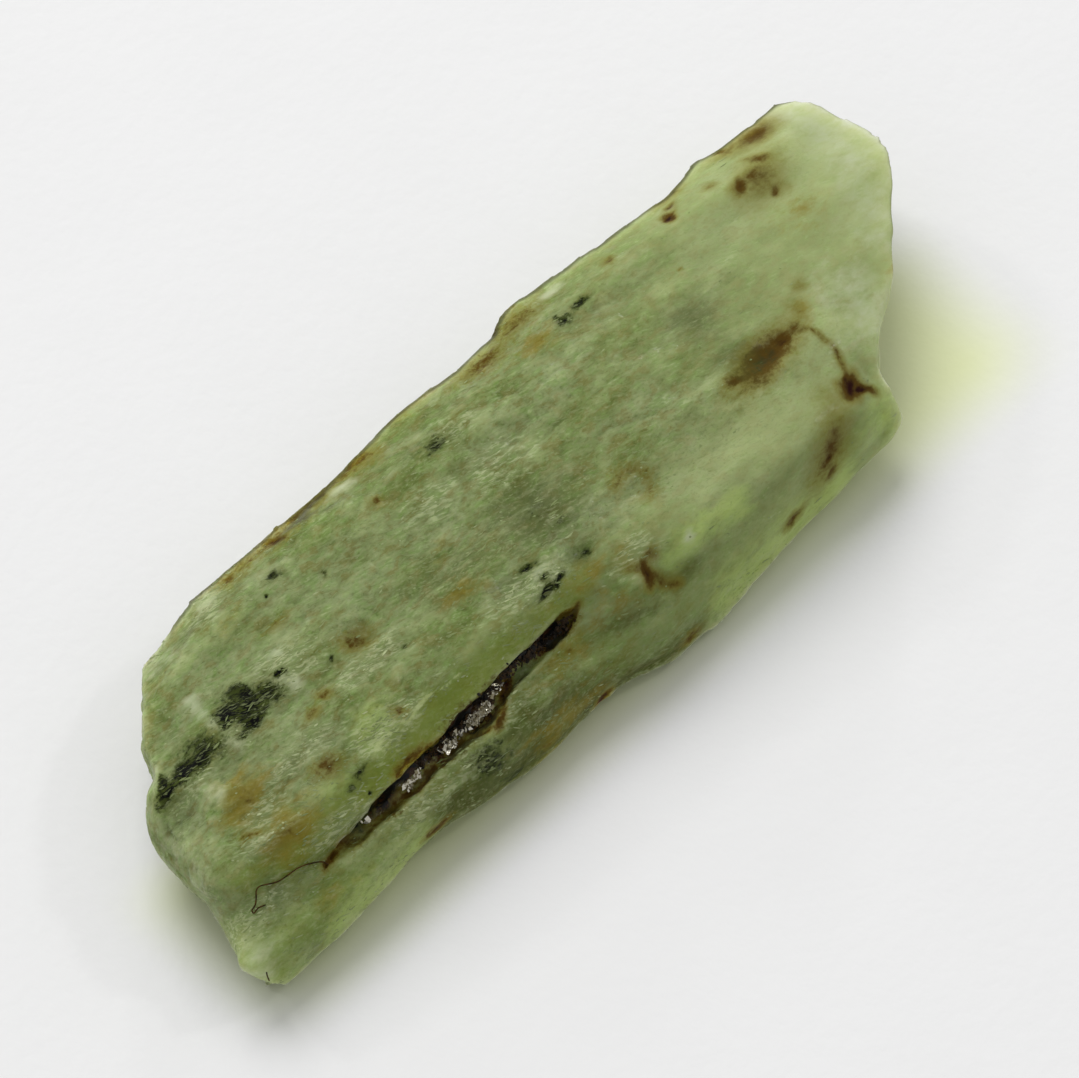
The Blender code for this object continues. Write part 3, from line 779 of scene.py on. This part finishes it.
def kyanite_material():
    s = Shader("kyanite_stone")
    s.bend(0.22, 0.09)
    fray = s.noise((0.12, 0.09, 0.09), seed=1, detail=3.0, roughness=0.65)
    clouds = s.noise((2.1, 1.2, 1.2), seed=2)
    mottle = s.noise((0.50, 0.26, 0.26), seed=4, detail=4.0, roughness=0.65)
    hue = s.noise((0.34, 0.22, 0.22), seed=6, detail=3.0, roughness=0.6)
    grain = s.noise((0.10, 0.055, 0.055), seed=5, roughness=0.6)
    zones = s.noise((0.9, 0.5, 0.5), seed=10)
    strokes = s.noise((0.26, 0.06, 0.07), seed=9, roughness=0.6, turn=-16.0)
    fine = s.mask("fine")

    # The stone itself, with painted glow, painted shade and painted highlights laid among its stains
    s.colour = s.mix(s.step(clouds, 0.35, 0.65), stone_tone(114, 128, 76), stone_tone(130, 142, 98))
    s.lay(s.step(mottle, 0.52, 0.70, 0.45), 138, 148, 100)
    s.lay(s.step(mottle, 0.47, 0.30, 0.55), 90, 104, 52)
    s.lay(s.step(hue, 0.50, 0.36, 0.55), 118, 112, 64)
    s.lay(s.step(hue, 0.51, 0.66, 0.50), 112, 144, 74)
    s.lay(s.step(zones, 0.52, 0.72, 0.50), 152, 164, 112)
    s.lay(s.step(zones, 0.46, 0.28, 0.35), 88, 96, 50)
    s.lay(s.times(s.mask("pale"), 0.75), 170, 180, 128)
    s.lay(s.times(s.mask("glass"), 0.6), 116, 132, 60)
    s.lay(s.times(s.step(s.frayed("deep", fray, 0.4), 0.2, 0.8), 0.6), 124, 137, 60)
    # Painted glow of light through thin low places on the right side
    s.lay(s.times(s.mask("glow"), 0.40), 148, 166, 96)
    for name, amount, low, high, share, shade in STAINS:
        s.lay(s.times(s.step(s.frayed(name, mottle, amount), low, high), share), *shade)

    # Painted highlight on ridges and painted shade in hollows, and the fine texture of cleavage with
    # painted glints
    ridge = s.mask("ridge")
    # Ridges painted lighter as highlight, hollows painted darker as shade
    s.lay(s.times(s.step(ridge, 0.60, 1.0, 0.20), fine), 168, 178, 132)
    s.lay(s.times(s.step(ridge, 0.45, 0.05, 0.20), fine), 70, 80, 36)
    s.lay(s.times(s.step(grain, 0.52, 0.78, 0.35), fine), 160, 168, 126)
    s.lay(s.times(s.step(grain, 0.45, 0.22, 0.35), fine), 70, 80, 40)
    s.lay(s.times(s.step(fray, 0.42, 0.28, 0.30), fine), 76, 86, 40)
    # Pale feathers of splintered cleavage, and splinters in them painted as glints
    glint_feathers = s.step(s.frayed("glint_feathers", hue, 1.6), 0.05, 0.60)
    glint_splinters = s.times(s.step(strokes, 0.46, 0.60), glint_feathers)
    s.lay(s.times(glint_feathers, 0.35), 144, 156, 108)
    # Pale streaks painted as glints, and darker streaks
    s.lay(s.times(s.step(strokes, 0.50, 0.68, 0.20), fine), 160, 162, 122)
    s.lay(s.times(s.step(strokes, 0.46, 0.32, 0.18), fine), 80, 90, 44)
    s.lay(s.times(glint_splinters, 0.45), 184, 190, 150)
    # A painted highlight along the crest's edge
    s.lay(s.times(s.step(s.frayed("crest", fray, 1.0), 0.30, 0.70), 0.6), 180, 190, 136)

    # The seam, rust and dark inclusions
    ragged = s.math("ADD", s.times(fray, 0.6), s.times(hue, 0.4))
    seam = s.frayed("seam", ragged, 1.8)
    near_seam = s.step(s.mask("seam"), 0.02, 0.20)
    s.lay(s.times(s.step(seam, 0.05, 0.40, 0.7), near_seam), 94, 90, 40)
    s.lay(s.times(s.step(seam, 0.34, 0.54), near_seam), 72, 50, 14)
    pitch = s.mix(s.step(hue, 0.52, 0.66), stone_tone(18, 13, 3), stone_tone(60, 42, 14))
    s.colour = s.mix(s.times(s.step(seam, 0.50, 0.64), near_seam), s.colour, pitch)
    rust = s.frayed("rust", ragged, s.math("ADD", s.times(fine, 0.8), 0.2))
    s.lay(s.step(rust, 0.12, 0.50, 0.65), 116, 106, 42)
    s.lay(s.step(rust, 0.40, 0.66, 0.95), 84, 64, 14)
    s.lay(s.step(rust, 0.64, 0.92), 50, 30, 3)
    dark = s.frayed("inclusion", ragged, 1.0)
    s.lay(s.step(dark, 0.10, 0.45, 0.40), 84, 92, 50)
    inside = s.step(dark, 0.36, 0.60)
    s.lay(inside, 66, 74, 40)
    pitted = s.math("ADD", dark, s.times(s.math("SUBTRACT", strokes, 0.5), 1.4))
    s.lay(s.times(s.step(pitted, 0.44, 0.76), inside), 27, 27, 4)
    # Lighter streaks inside the inclusions, painted glints
    s.lay(s.times(s.step(strokes, 0.54, 0.66, 0.60), inside), 128, 138, 94)
    # Painted shade along the left rim and the far tip's edge, weaker where rust lies
    clear = s.step(s.mask("rust"), 0.35, 0.70, 0.70, 0.85)
    s.lay(s.times(s.mask("rim"), clear), 68, 68, 44)

    # Gloss, and light from inside
    calm = s.math("SUBTRACT", 1.0, s.times(s.mask("glass"), 0.6))
    marked = s.math("MAXIMUM", s.step(dark, 0.4, 0.7), s.step(rust, 0.4, 0.7))
    bare = s.math("SUBTRACT", 1.0, s.math("MAXIMUM", marked, s.mask("painted_shade")))
    bare = s.times(s.times(bare, calm), fine)
    gloss = s.step(mottle, 0.35, 0.65, 0.52, 0.36)
    gloss = s.math("SUBTRACT", gloss, s.times(s.mask("glass"), 0.06))
    s.set(Base_Color=s.colour, Roughness=gloss, IOR=1.72, Specular_IOR_Level=0.02)
    glaze = s.times(s.step(zones, 0.42, 0.62, 0.50, 0.05), bare)
    s.set(Coat_Weight=glaze, Coat_Roughness=0.14)
    opaque = s.math("MAXIMUM", s.mask("seam"), s.mask("rim"))
    s.set(Subsurface_Weight=s.step(opaque, 0.02, 0.50, 0.15, 0.85))
    s.set(Subsurface_Radius=(1.0, 1.0, 0.80), Subsurface_Scale=2.0 * MM)

    coarse = s.times(s.facets((0.34, 0.14, 0.14), seed=7), 0.040)
    height = s.math("ADD", coarse, s.times(grain, 0.014))
    height = s.math("ADD", height, s.times(glint_splinters, 0.010))
    relief_normal = s.bump(s.times(s.times(height, calm), fine))
    s.set(Normal=relief_normal, Coat_Normal=relief_normal)
    return s.material


def sliver_material():
    s = Shader("kyanite_sliver")
    shade = s.mask("shade")
    grain = s.noise((0.05, 0.05, 0.05), seed=17)
    # The pale shades stand for painted glints
    colour = s.mix(s.step(shade, 0.0, 0.30), tone(88, 92, 52), tone(120, 132, 84))
    colour = s.mix(s.step(shade, 0.30, 1.0), colour, tone(174, 182, 138))
    colour = s.mix(s.step(grain, 0.5, 0.8, 0.3), colour, tone(120, 136, 84))
    s.set(Base_Color=colour, Roughness=s.step(grain, 0.3, 0.7, 0.45, 0.25), IOR=1.72)
    s.set(Specular_IOR_Level=0.08)
    return s.material


def mica_material():
    s = Shader("mica_sheets")
    shade = s.mask("shade")
    grain = s.noise((0.05, 0.05, 0.05), seed=11)
    silver = s.step(shade, 0.45, 0.60)
    colour = s.mix(s.step(shade, 0.0, 0.4), tone(10, 7, 2), tone(58, 40, 14))
    colour = s.mix(s.step(grain, 0.5, 0.8, 0.4), colour, tone(30, 20, 6))
    bright = s.mix(s.step(shade, 0.6, 1.0), tone(156, 148, 118), tone(244, 240, 224))
    s.set(Base_Color=s.mix(silver, colour, bright), Specular_IOR_Level=0.25, IOR=1.5)
    s.set(Roughness=s.step(silver, 0.0, 1.0, 0.22, 0.55), Metallic=s.times(silver, 0.7))
    s.set(Normal=s.bump(s.times(grain, 0.004)))
    return s.material


def fibre_material():
    s = Shader("dust_fibre")
    tint = s.noise((0.12, 0.12, 0.12), seed=13)
    s.set(Base_Color=s.mix(s.step(tint, 0.4, 0.6), tone(40, 28, 12), tone(74, 50, 24)), Roughness=0.8)
    s.set(Specular_IOR_Level=0.1)
    return s.material


def floor_material():
    """A pale board, with the green of light through the stone painted on it beside the right flank.
    The tint ends unseen below the stone.
    """
    s = Shader("pale_board")
    board = s.mix(s.noise((2.0, 2.0, 2.0), seed=15, detail=3.0), *BOARD_TONES)
    right = s.vector("DOT_PRODUCT", s.place, (0.0, -1.0 / MM, 0.0), output="Value")
    along = s.vector("DOT_PRODUCT", s.place, (1.0 / MM, 0.0, 0.0), output="Value")
    beside = s.times(s.step(right, -1.0, 0.5), s.step(right, TINT_START, TINT_END, 0.0, 1.0))
    fade_end = TINT_HALF_LENGTH + TINT_FADE
    within = s.step(s.math("ABSOLUTE", along), TINT_HALF_LENGTH, fade_end, 0.0, 1.0)
    s.set(Base_Color=s.mix(s.times(beside, within), board, TINT_COLOUR), Roughness=0.55)
    s.set(Normal=s.bump(s.times(s.noise((0.3, 0.3, 0.3), seed=16), 0.01)))
    return s.material


def relief(points, normals, masks):
    """How far each point stands out along its normal, by the crystal's growth and its wear."""
    top = smooth_step(normals[:, 2], 0.35, 0.8)
    smooth = np.maximum(masks["glass"] * 1.6, masks["deep"] * 1.2).clip(0, 1)
    lines = rough(points, (1.3, 0.26, 0.26), 1) * 0.6 + rough(points, (0.6, 0.14, 0.18), 2) * 0.4
    terraces = rough(points, (2.4, 0.8, 0.8), 3) * 3.0 + rough(points, (0.5, 0.3, 0.3), 13) * 0.5
    terraces = (terraces - smooth_step(terraces - np.floor(terraces), 0.3, 0.7)) / 3.0
    chips = facets(points, (0.70, 0.42, 0.42), 4)
    small = facets(points, (0.30, 0.19, 0.19), 5)
    lumps = rough(points, (0.9, 0.6, 0.6), 6)
    calm = (1 - 0.65 * smooth) * masks["fine"]
    height = (lines * LINE_HEIGHT + chips * CHIP_HEIGHT + small * SMALL_CHIP_HEIGHT) * calm
    height += lumps * LUMP_HEIGHT + terraces * TERRACE_HEIGHT * top * calm
    depth = SEAM_DEPTH + SEAM_UNEVEN * rough(points, (0.3, 0.2, 0.2), 7)
    height -= smooth_step(masks["seam"], 0.35, 0.8) * depth
    height -= smooth_step(masks["inclusion"], 0.4, 0.8) * INCLUSION_DEPTH
    height -= smooth_step(masks["rust"], 0.4, 0.8) * RUST_DEPTH
    return height


def set_mask(mesh, name, values):
    mesh.attributes.new(name, "FLOAT", "POINT").data.foreach_set("value", values)


def merge(mesh, edges, places, swell):
    """Run what stands out at these places together into one slope, raised by the swell."""
    points = points_of(mesh)
    share = smooth_step(Surface(mesh).mask(places), 0.05, 0.5)[:, None]
    slope = spread(points, edges, MERGE_ROUNDS)
    put_points(mesh, points + (slope + normals_of(mesh) * swell - points) * share)


def make_crystal():
    """The fine crystal in place of its solid: its surface, its normals and its masks."""
    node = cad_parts[NODE]
    mesh = remeshed(node, VOXEL)
    mesh.name = "crystal"
    edges = edges_of(mesh)
    worn = relaxed(points_of(mesh), edges, WEAR_ROUNDS, WEAR_SHARE)
    put_points(mesh, worn)
    softness = smooth_step(Surface(mesh).mask(SOFT_VEINS), 0.1, 0.7)
    round_points = relaxed(worn, edges, SOFT_ROUNDS, WEAR_SHARE)
    round_points = spread(round_points, edges, SOFT_LAST_ROUNDS)
    put_points(mesh, worn + (round_points - worn) * softness[:, None])
    merge(mesh, edges, LOBES, LOBE_SWELL)
    merge(mesh, edges, LIPS, LIP_SWELL)
    surface = Surface(mesh)
    far = surface.points[:, 0]
    masks = {
        "inclusion": surface.mask(INCLUSIONS),
        "rust": surface.mask(RUST, RUST_VEINS),
        "clay": surface.mask(CLAY),
        "haze": surface.mask(HAZE),
        "frost_and_highlight": surface.mask(FROST_AND_HIGHLIGHTS, FROST_AND_HIGHLIGHT_VEINS),
        "deep": surface.mask(DEEP_VEINS),
        "glass": surface.mask(GLASS_VEINS),
        "pale": np.maximum(surface.mask(PALE), smooth_step(far, *PALE_RANGE)),
        "seam": surface.vein(SEAM, SEAM_HALF_WIDTH),
        "painted_shade": surface.mask(PAINTED_SHADE_VEINS),
        "lime_and_glow": surface.mask(LIME_AND_GLOW, LIME_AND_GLOW_VEINS),
        "glint_feathers": surface.mask(GLINT_FEATHERS),
        "crest": surface.mask(CREST_HIGHLIGHT_VEINS),
        "fine": 1 - 0.75 * smooth_step(far, *FINE_RANGE),
    }
    masks["fine"] *= 1 - 0.8 * smooth_step(masks["frost_and_highlight"], 0.1, 0.6)
    masks["fine"] *= 1 - 0.5 * softness
    low, high = (np.array(corner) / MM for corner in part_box(NODE))
    normals = normals_of(mesh)
    points = surface.points + normals * relief(surface.points, normals, masks)[:, None]
    points[surface.points[:, 2] < REST_SNAP, 2] = 0.0
    put_points(mesh, np.clip(points, low, high))
    normals = normals_of(mesh)
    masks["ridge"] = ridge_mask(points_of(mesh), normals, edges)
    thin = inner_light(surface.tree, surface.points, normals)[:, None]
    thin = spread(thin, edges, THIN_ROUNDS)[:, 0]
    low_down = smooth_step(surface.points[:, 2], *GLOW_RANGE)
    right_side = smooth_step(-surface.points[:, 1], 0.0, 2.5)
    masks["glow"] = smooth_step(thin, *np.percentile(thin, (30, 98))) * low_down * right_side
    masks["rim"] = rim_shade_mask(surface.points, normals, edges)
    for name, values in masks.items():
        set_mask(mesh, name, values)
    mesh.shade_smooth()
    mesh.materials.clear()
    mesh.materials.append(kyanite_material())
    crystal = placed("crystal", mesh)
    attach(crystal, BODY)
    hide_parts(NODE)
    return Surface(mesh), normals_of(mesh), masks


def joined_piece(name, points, faces, material):
    mesh = bpy.data.meshes.new(name)
    mesh.from_pydata([Vector(p) * MM for p in points], [], faces)
    mesh.materials.append(material)
    piece = placed(name, mesh)
    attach(piece, BODY)
    return piece


def tube(first, rings, sides):
    """The faces of a closed tube whose rings of points follow each other from the first point."""
    faces = []
    for start in range(first, first + (rings - 1) * sides, sides):
        for k in range(sides):
            a, b = start + k, start + (k + 1) % sides
            faces.append([a, b, b + sides, a + sides])
    last = first + (rings - 1) * sides
    faces.append([first + k for k in reversed(range(sides))])
    faces.append([last + k for k in range(sides)])
    return faces


def make_slivers(surface, normals, masks):
    """Thin curved slivers of cleavage that stand a little off the stone and glint, their pale shades
    painted glints.
    """
    chance = np.random.default_rng(8)
    drift = smooth_step(rough(surface.points, (0.8, 0.5, 0.5), 9), -0.1, 0.45)
    near = smooth_step(-surface.points[:, 0], -CRISP_END, -CRISP_START)
    odds = (0.10 + near) * (0.1 + drift) + 5.0 * masks["glint_feathers"] ** 2
    odds *= masks["fine"] * (1 - smooth_step(masks["seam"], 0.2, 0.5))
    odds *= (1 - 0.9 * smooth_step(masks["rust"], 0.3, 0.6)) * (surface.points[:, 2] > REST_SNAP * 2)
    picked = chance.choice(len(odds), SLIVERS, replace=False, p=odds / odds.sum())
    points, faces, shades = [], [], []
    for i in picked.tolist():
        normal = Vector(normals[i])
        along = (Vector((1.0, 0.0, 0.0)) - normal * normal.x).normalized()
        along.rotate(Matrix.Rotation(chance.normal(SLIVER_LEAN, SLIVER_TURN), 3, normal))
        across = normal.cross(along)
        crowd = masks["glint_feathers"][i]
        stretch = chance.random() ** (2.2 - crowd)
        length = SLIVER_LENGTH[0] * (SLIVER_LENGTH[1] / SLIVER_LENGTH[0]) ** stretch
        width = chance.uniform(*SLIVER_WIDTH)
        bow = chance.normal(0.0, 0.08) * length
        faces += tube(len(points), SLIVER_STOPS, SLIVER_SIDES)
        for stop in range(SLIVER_STOPS):
            t = 2 * stop / (SLIVER_STOPS - 1) - 1
            middle = Vector(surface.points[i]) + along * (t * length / 2) + across * (bow * t * t / 2)
            place, facing, _, _ = surface.tree.find_nearest(middle)
            side = across * (width / 2 * math.sqrt(1.02 - t * t))
            points += [place - side, place + facing * SLIVER_RISE, place + side,
                       place - facing * SLIVER_ROOT]
        # Slivers in inclusions are dark, and the others pale, as painted glints, the more where
        # feathers crowd
        if masks["inclusion"][i] > 0.35:
            shade = chance.uniform(0.0, 0.4)
        else:
            shade = 0.24 + (0.38 + 0.50 * crowd) * chance.random() ** (2.8 - crowd)
        shades += [shade] * (SLIVER_STOPS * SLIVER_SIDES)
    low, high = (Vector(corner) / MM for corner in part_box(NODE))
    for point in points:
        for axis in range(3):
            point[axis] = min(max(point[axis], low[axis]), high[axis])
    piece = joined_piece("cleavage_slivers", points, faces, sliver_material())
    set_mask(piece.data, "shade", shades)


def plate_points(place, normal, chance, size):
    """The two rings of a thin plate of mica, many-sided and tilted, on the stone."""
    facing = (normal + Vector(chance.normal(0.0, 0.35, 3))).normalized()
    along = facing.orthogonal().normalized()
    across = facing.cross(along)
    sides = int(chance.integers(5, 8))
    start = chance.uniform(0.0, math.tau)
    points = []
    for lift in (-PLATE_HALF, PLATE_HALF):
        for side in range(sides):
            angle = math.tau * side / sides
            reach = size * (0.7 + 0.3 * math.cos(side * 2.3 + start))
            points.append(place + normal * PLATE_LIFT + facing * lift
                          + (along * math.cos(angle) + across * math.sin(angle)) * reach)
    return points


def along_line(pixels, share):
    """The pixel at a share of the way along a line of pixels."""
    at = share * (len(pixels) - 1)
    start = min(int(at), len(pixels) - 2)
    return [a + (b - a) * (at - start) for a, b in zip(pixels[start], pixels[start + 1])]


def make_mica(surface):
    """Thin plates of mica in the dark seam: dark all through it, and silver along a few lines."""
    chance = np.random.default_rng(5)
    points, faces, shades = [], [], []
    sets = [(SEAM[5:-1], DARK_PLATES, *DARK_SET)]
    sets += [(pixels, count, *SILVER_SET) for pixels, count in SILVER_LINES]
    for pixels, count, spread_out, shade_range, size_range in sets:
        for _ in range(count):
            pixel = along_line(pixels, chance.random())
            pixel = [value + shift for value, shift in zip(pixel, chance.normal(0.0, spread_out, 2))]
            place, normal = surface.seen_at(pixel)
            plate = plate_points(place, normal, chance, chance.uniform(*size_range))
            faces += tube(len(points), 2, len(plate) // 2)
            points += plate
            shades += [chance.uniform(*shade_range)] * len(plate)
    piece = joined_piece("mica_flakes", points, faces, mica_material())
    set_mask(piece.data, "shade", shades)


def make_hairs(surface):
    """Brown dust fibres that lie on the stone."""
    points, faces = [], []
    for pixels in (LONG_HAIR, SHORT_HAIR):
        stops = [surface.seen_at(pixel) for pixel in pixels]
        route = [place + normal * HAIR_WIDTH * HAIR_LIFT for place, normal in stops]
        curve = []
        for i in range(len(route) - 1):
            before, after = route[max(i - 1, 0)], route[min(i + 2, len(route) - 1)]
            start, end = route[i], route[i + 1]
            for part in range(HAIR_PARTS):
                t = part / HAIR_PARTS
                curve.append(0.5 * (2 * start + (end - before) * t
                                    + (2 * before - 5 * start + 4 * end - after) * t * t
                                    + (3 * start - before - 3 * end + after) * t * t * t))
        curve.append(route[-1])
        for place in curve:
            place.z = max(place.z, HAIR_WIDTH / 2)
        faces += tube(len(points), len(curve), HAIR_SIDES)
        for i, place in enumerate(curve):
            run = (curve[min(i + 1, len(curve) - 1)] - curve[max(i - 1, 0)]).normalized()
            side = run.cross(Vector((0.3, -0.2, 1.0))).normalized()
            top = side.cross(run)
            for k in range(HAIR_SIDES):
                angle = math.tau * k / HAIR_SIDES
                points.append(place + (side * math.cos(angle) + top * math.sin(angle))
                              * HAIR_WIDTH / 2)
    piece = joined_piece("dust_fibres", points, faces, fibre_material())
    piece.data.shade_smooth()


def make_stage():
    mesh = bpy.data.meshes.new("floor")
    corners = [(-1, -1), (1, -1), (1, 1), (-1, 1)]
    mesh.from_pydata([(x * FLOOR_HALF, y * FLOOR_HALF, 0) for x, y in corners], [], [(0, 1, 2, 3)])
    mesh.materials.append(floor_material())
    floor = placed("floor", mesh)


def add_light(name, place, size, power):
    light = bpy.data.lights.new(name, "AREA")
    light.shape = "DISK"
    light.size = size
    light.energy = power
    lamp = placed(name, light)
    along, right, up = place
    lamp.location = LEVEL * along + RIGHT * right + Vector((0.0, 0.0, up))
    lamp.rotation_euler = (-lamp.location).to_track_quat("-Z", "Y").to_euler()
    return lamp


def make_light():
    """A wide soft light high behind the crystal, small ones for glints, and a pale room."""
    window = add_light("window", WINDOW_PLACE, WINDOW_SIZE, WINDOW_POWER)
    window.visible_glossy = False
    for name, place in LAMPS.items():
        add_light(name, place, LAMP_SIZE, LAMP_POWER)
    world = bpy.data.worlds.new("room")
    world.use_nodes = True
    room = world.node_tree.nodes["Background"]
    room.inputs["Color"].default_value = (1.0, 1.0, 1.0, 1.0)
    room.inputs["Strength"].default_value = ROOM_LIGHT
    bpy.context.scene.world = world


def make_camera():
    data = bpy.data.cameras.new("camera")
    data.sensor_width = SENSOR_WIDTH
    data.lens = SENSOR_WIDTH * CAMERA_DISTANCE / (PHOTO_WIDTH * PIXEL)
    data.clip_start = 0.001
    camera = placed("camera", data)
    turn = Matrix((RIGHT, UP, -FORWARD)).transposed().to_4x4()
    camera.matrix_world = Matrix.Translation(EYE * MM) @ turn
    bpy.context.scene.camera = camera
    bpy.context.scene.view_settings.view_transform = "Standard"


make_camera()
make_light()
make_stage()
stone, stone_normals, stone_masks = make_crystal()
make_slivers(stone, stone_normals, stone_masks)
make_mica(stone)
make_hairs(stone)
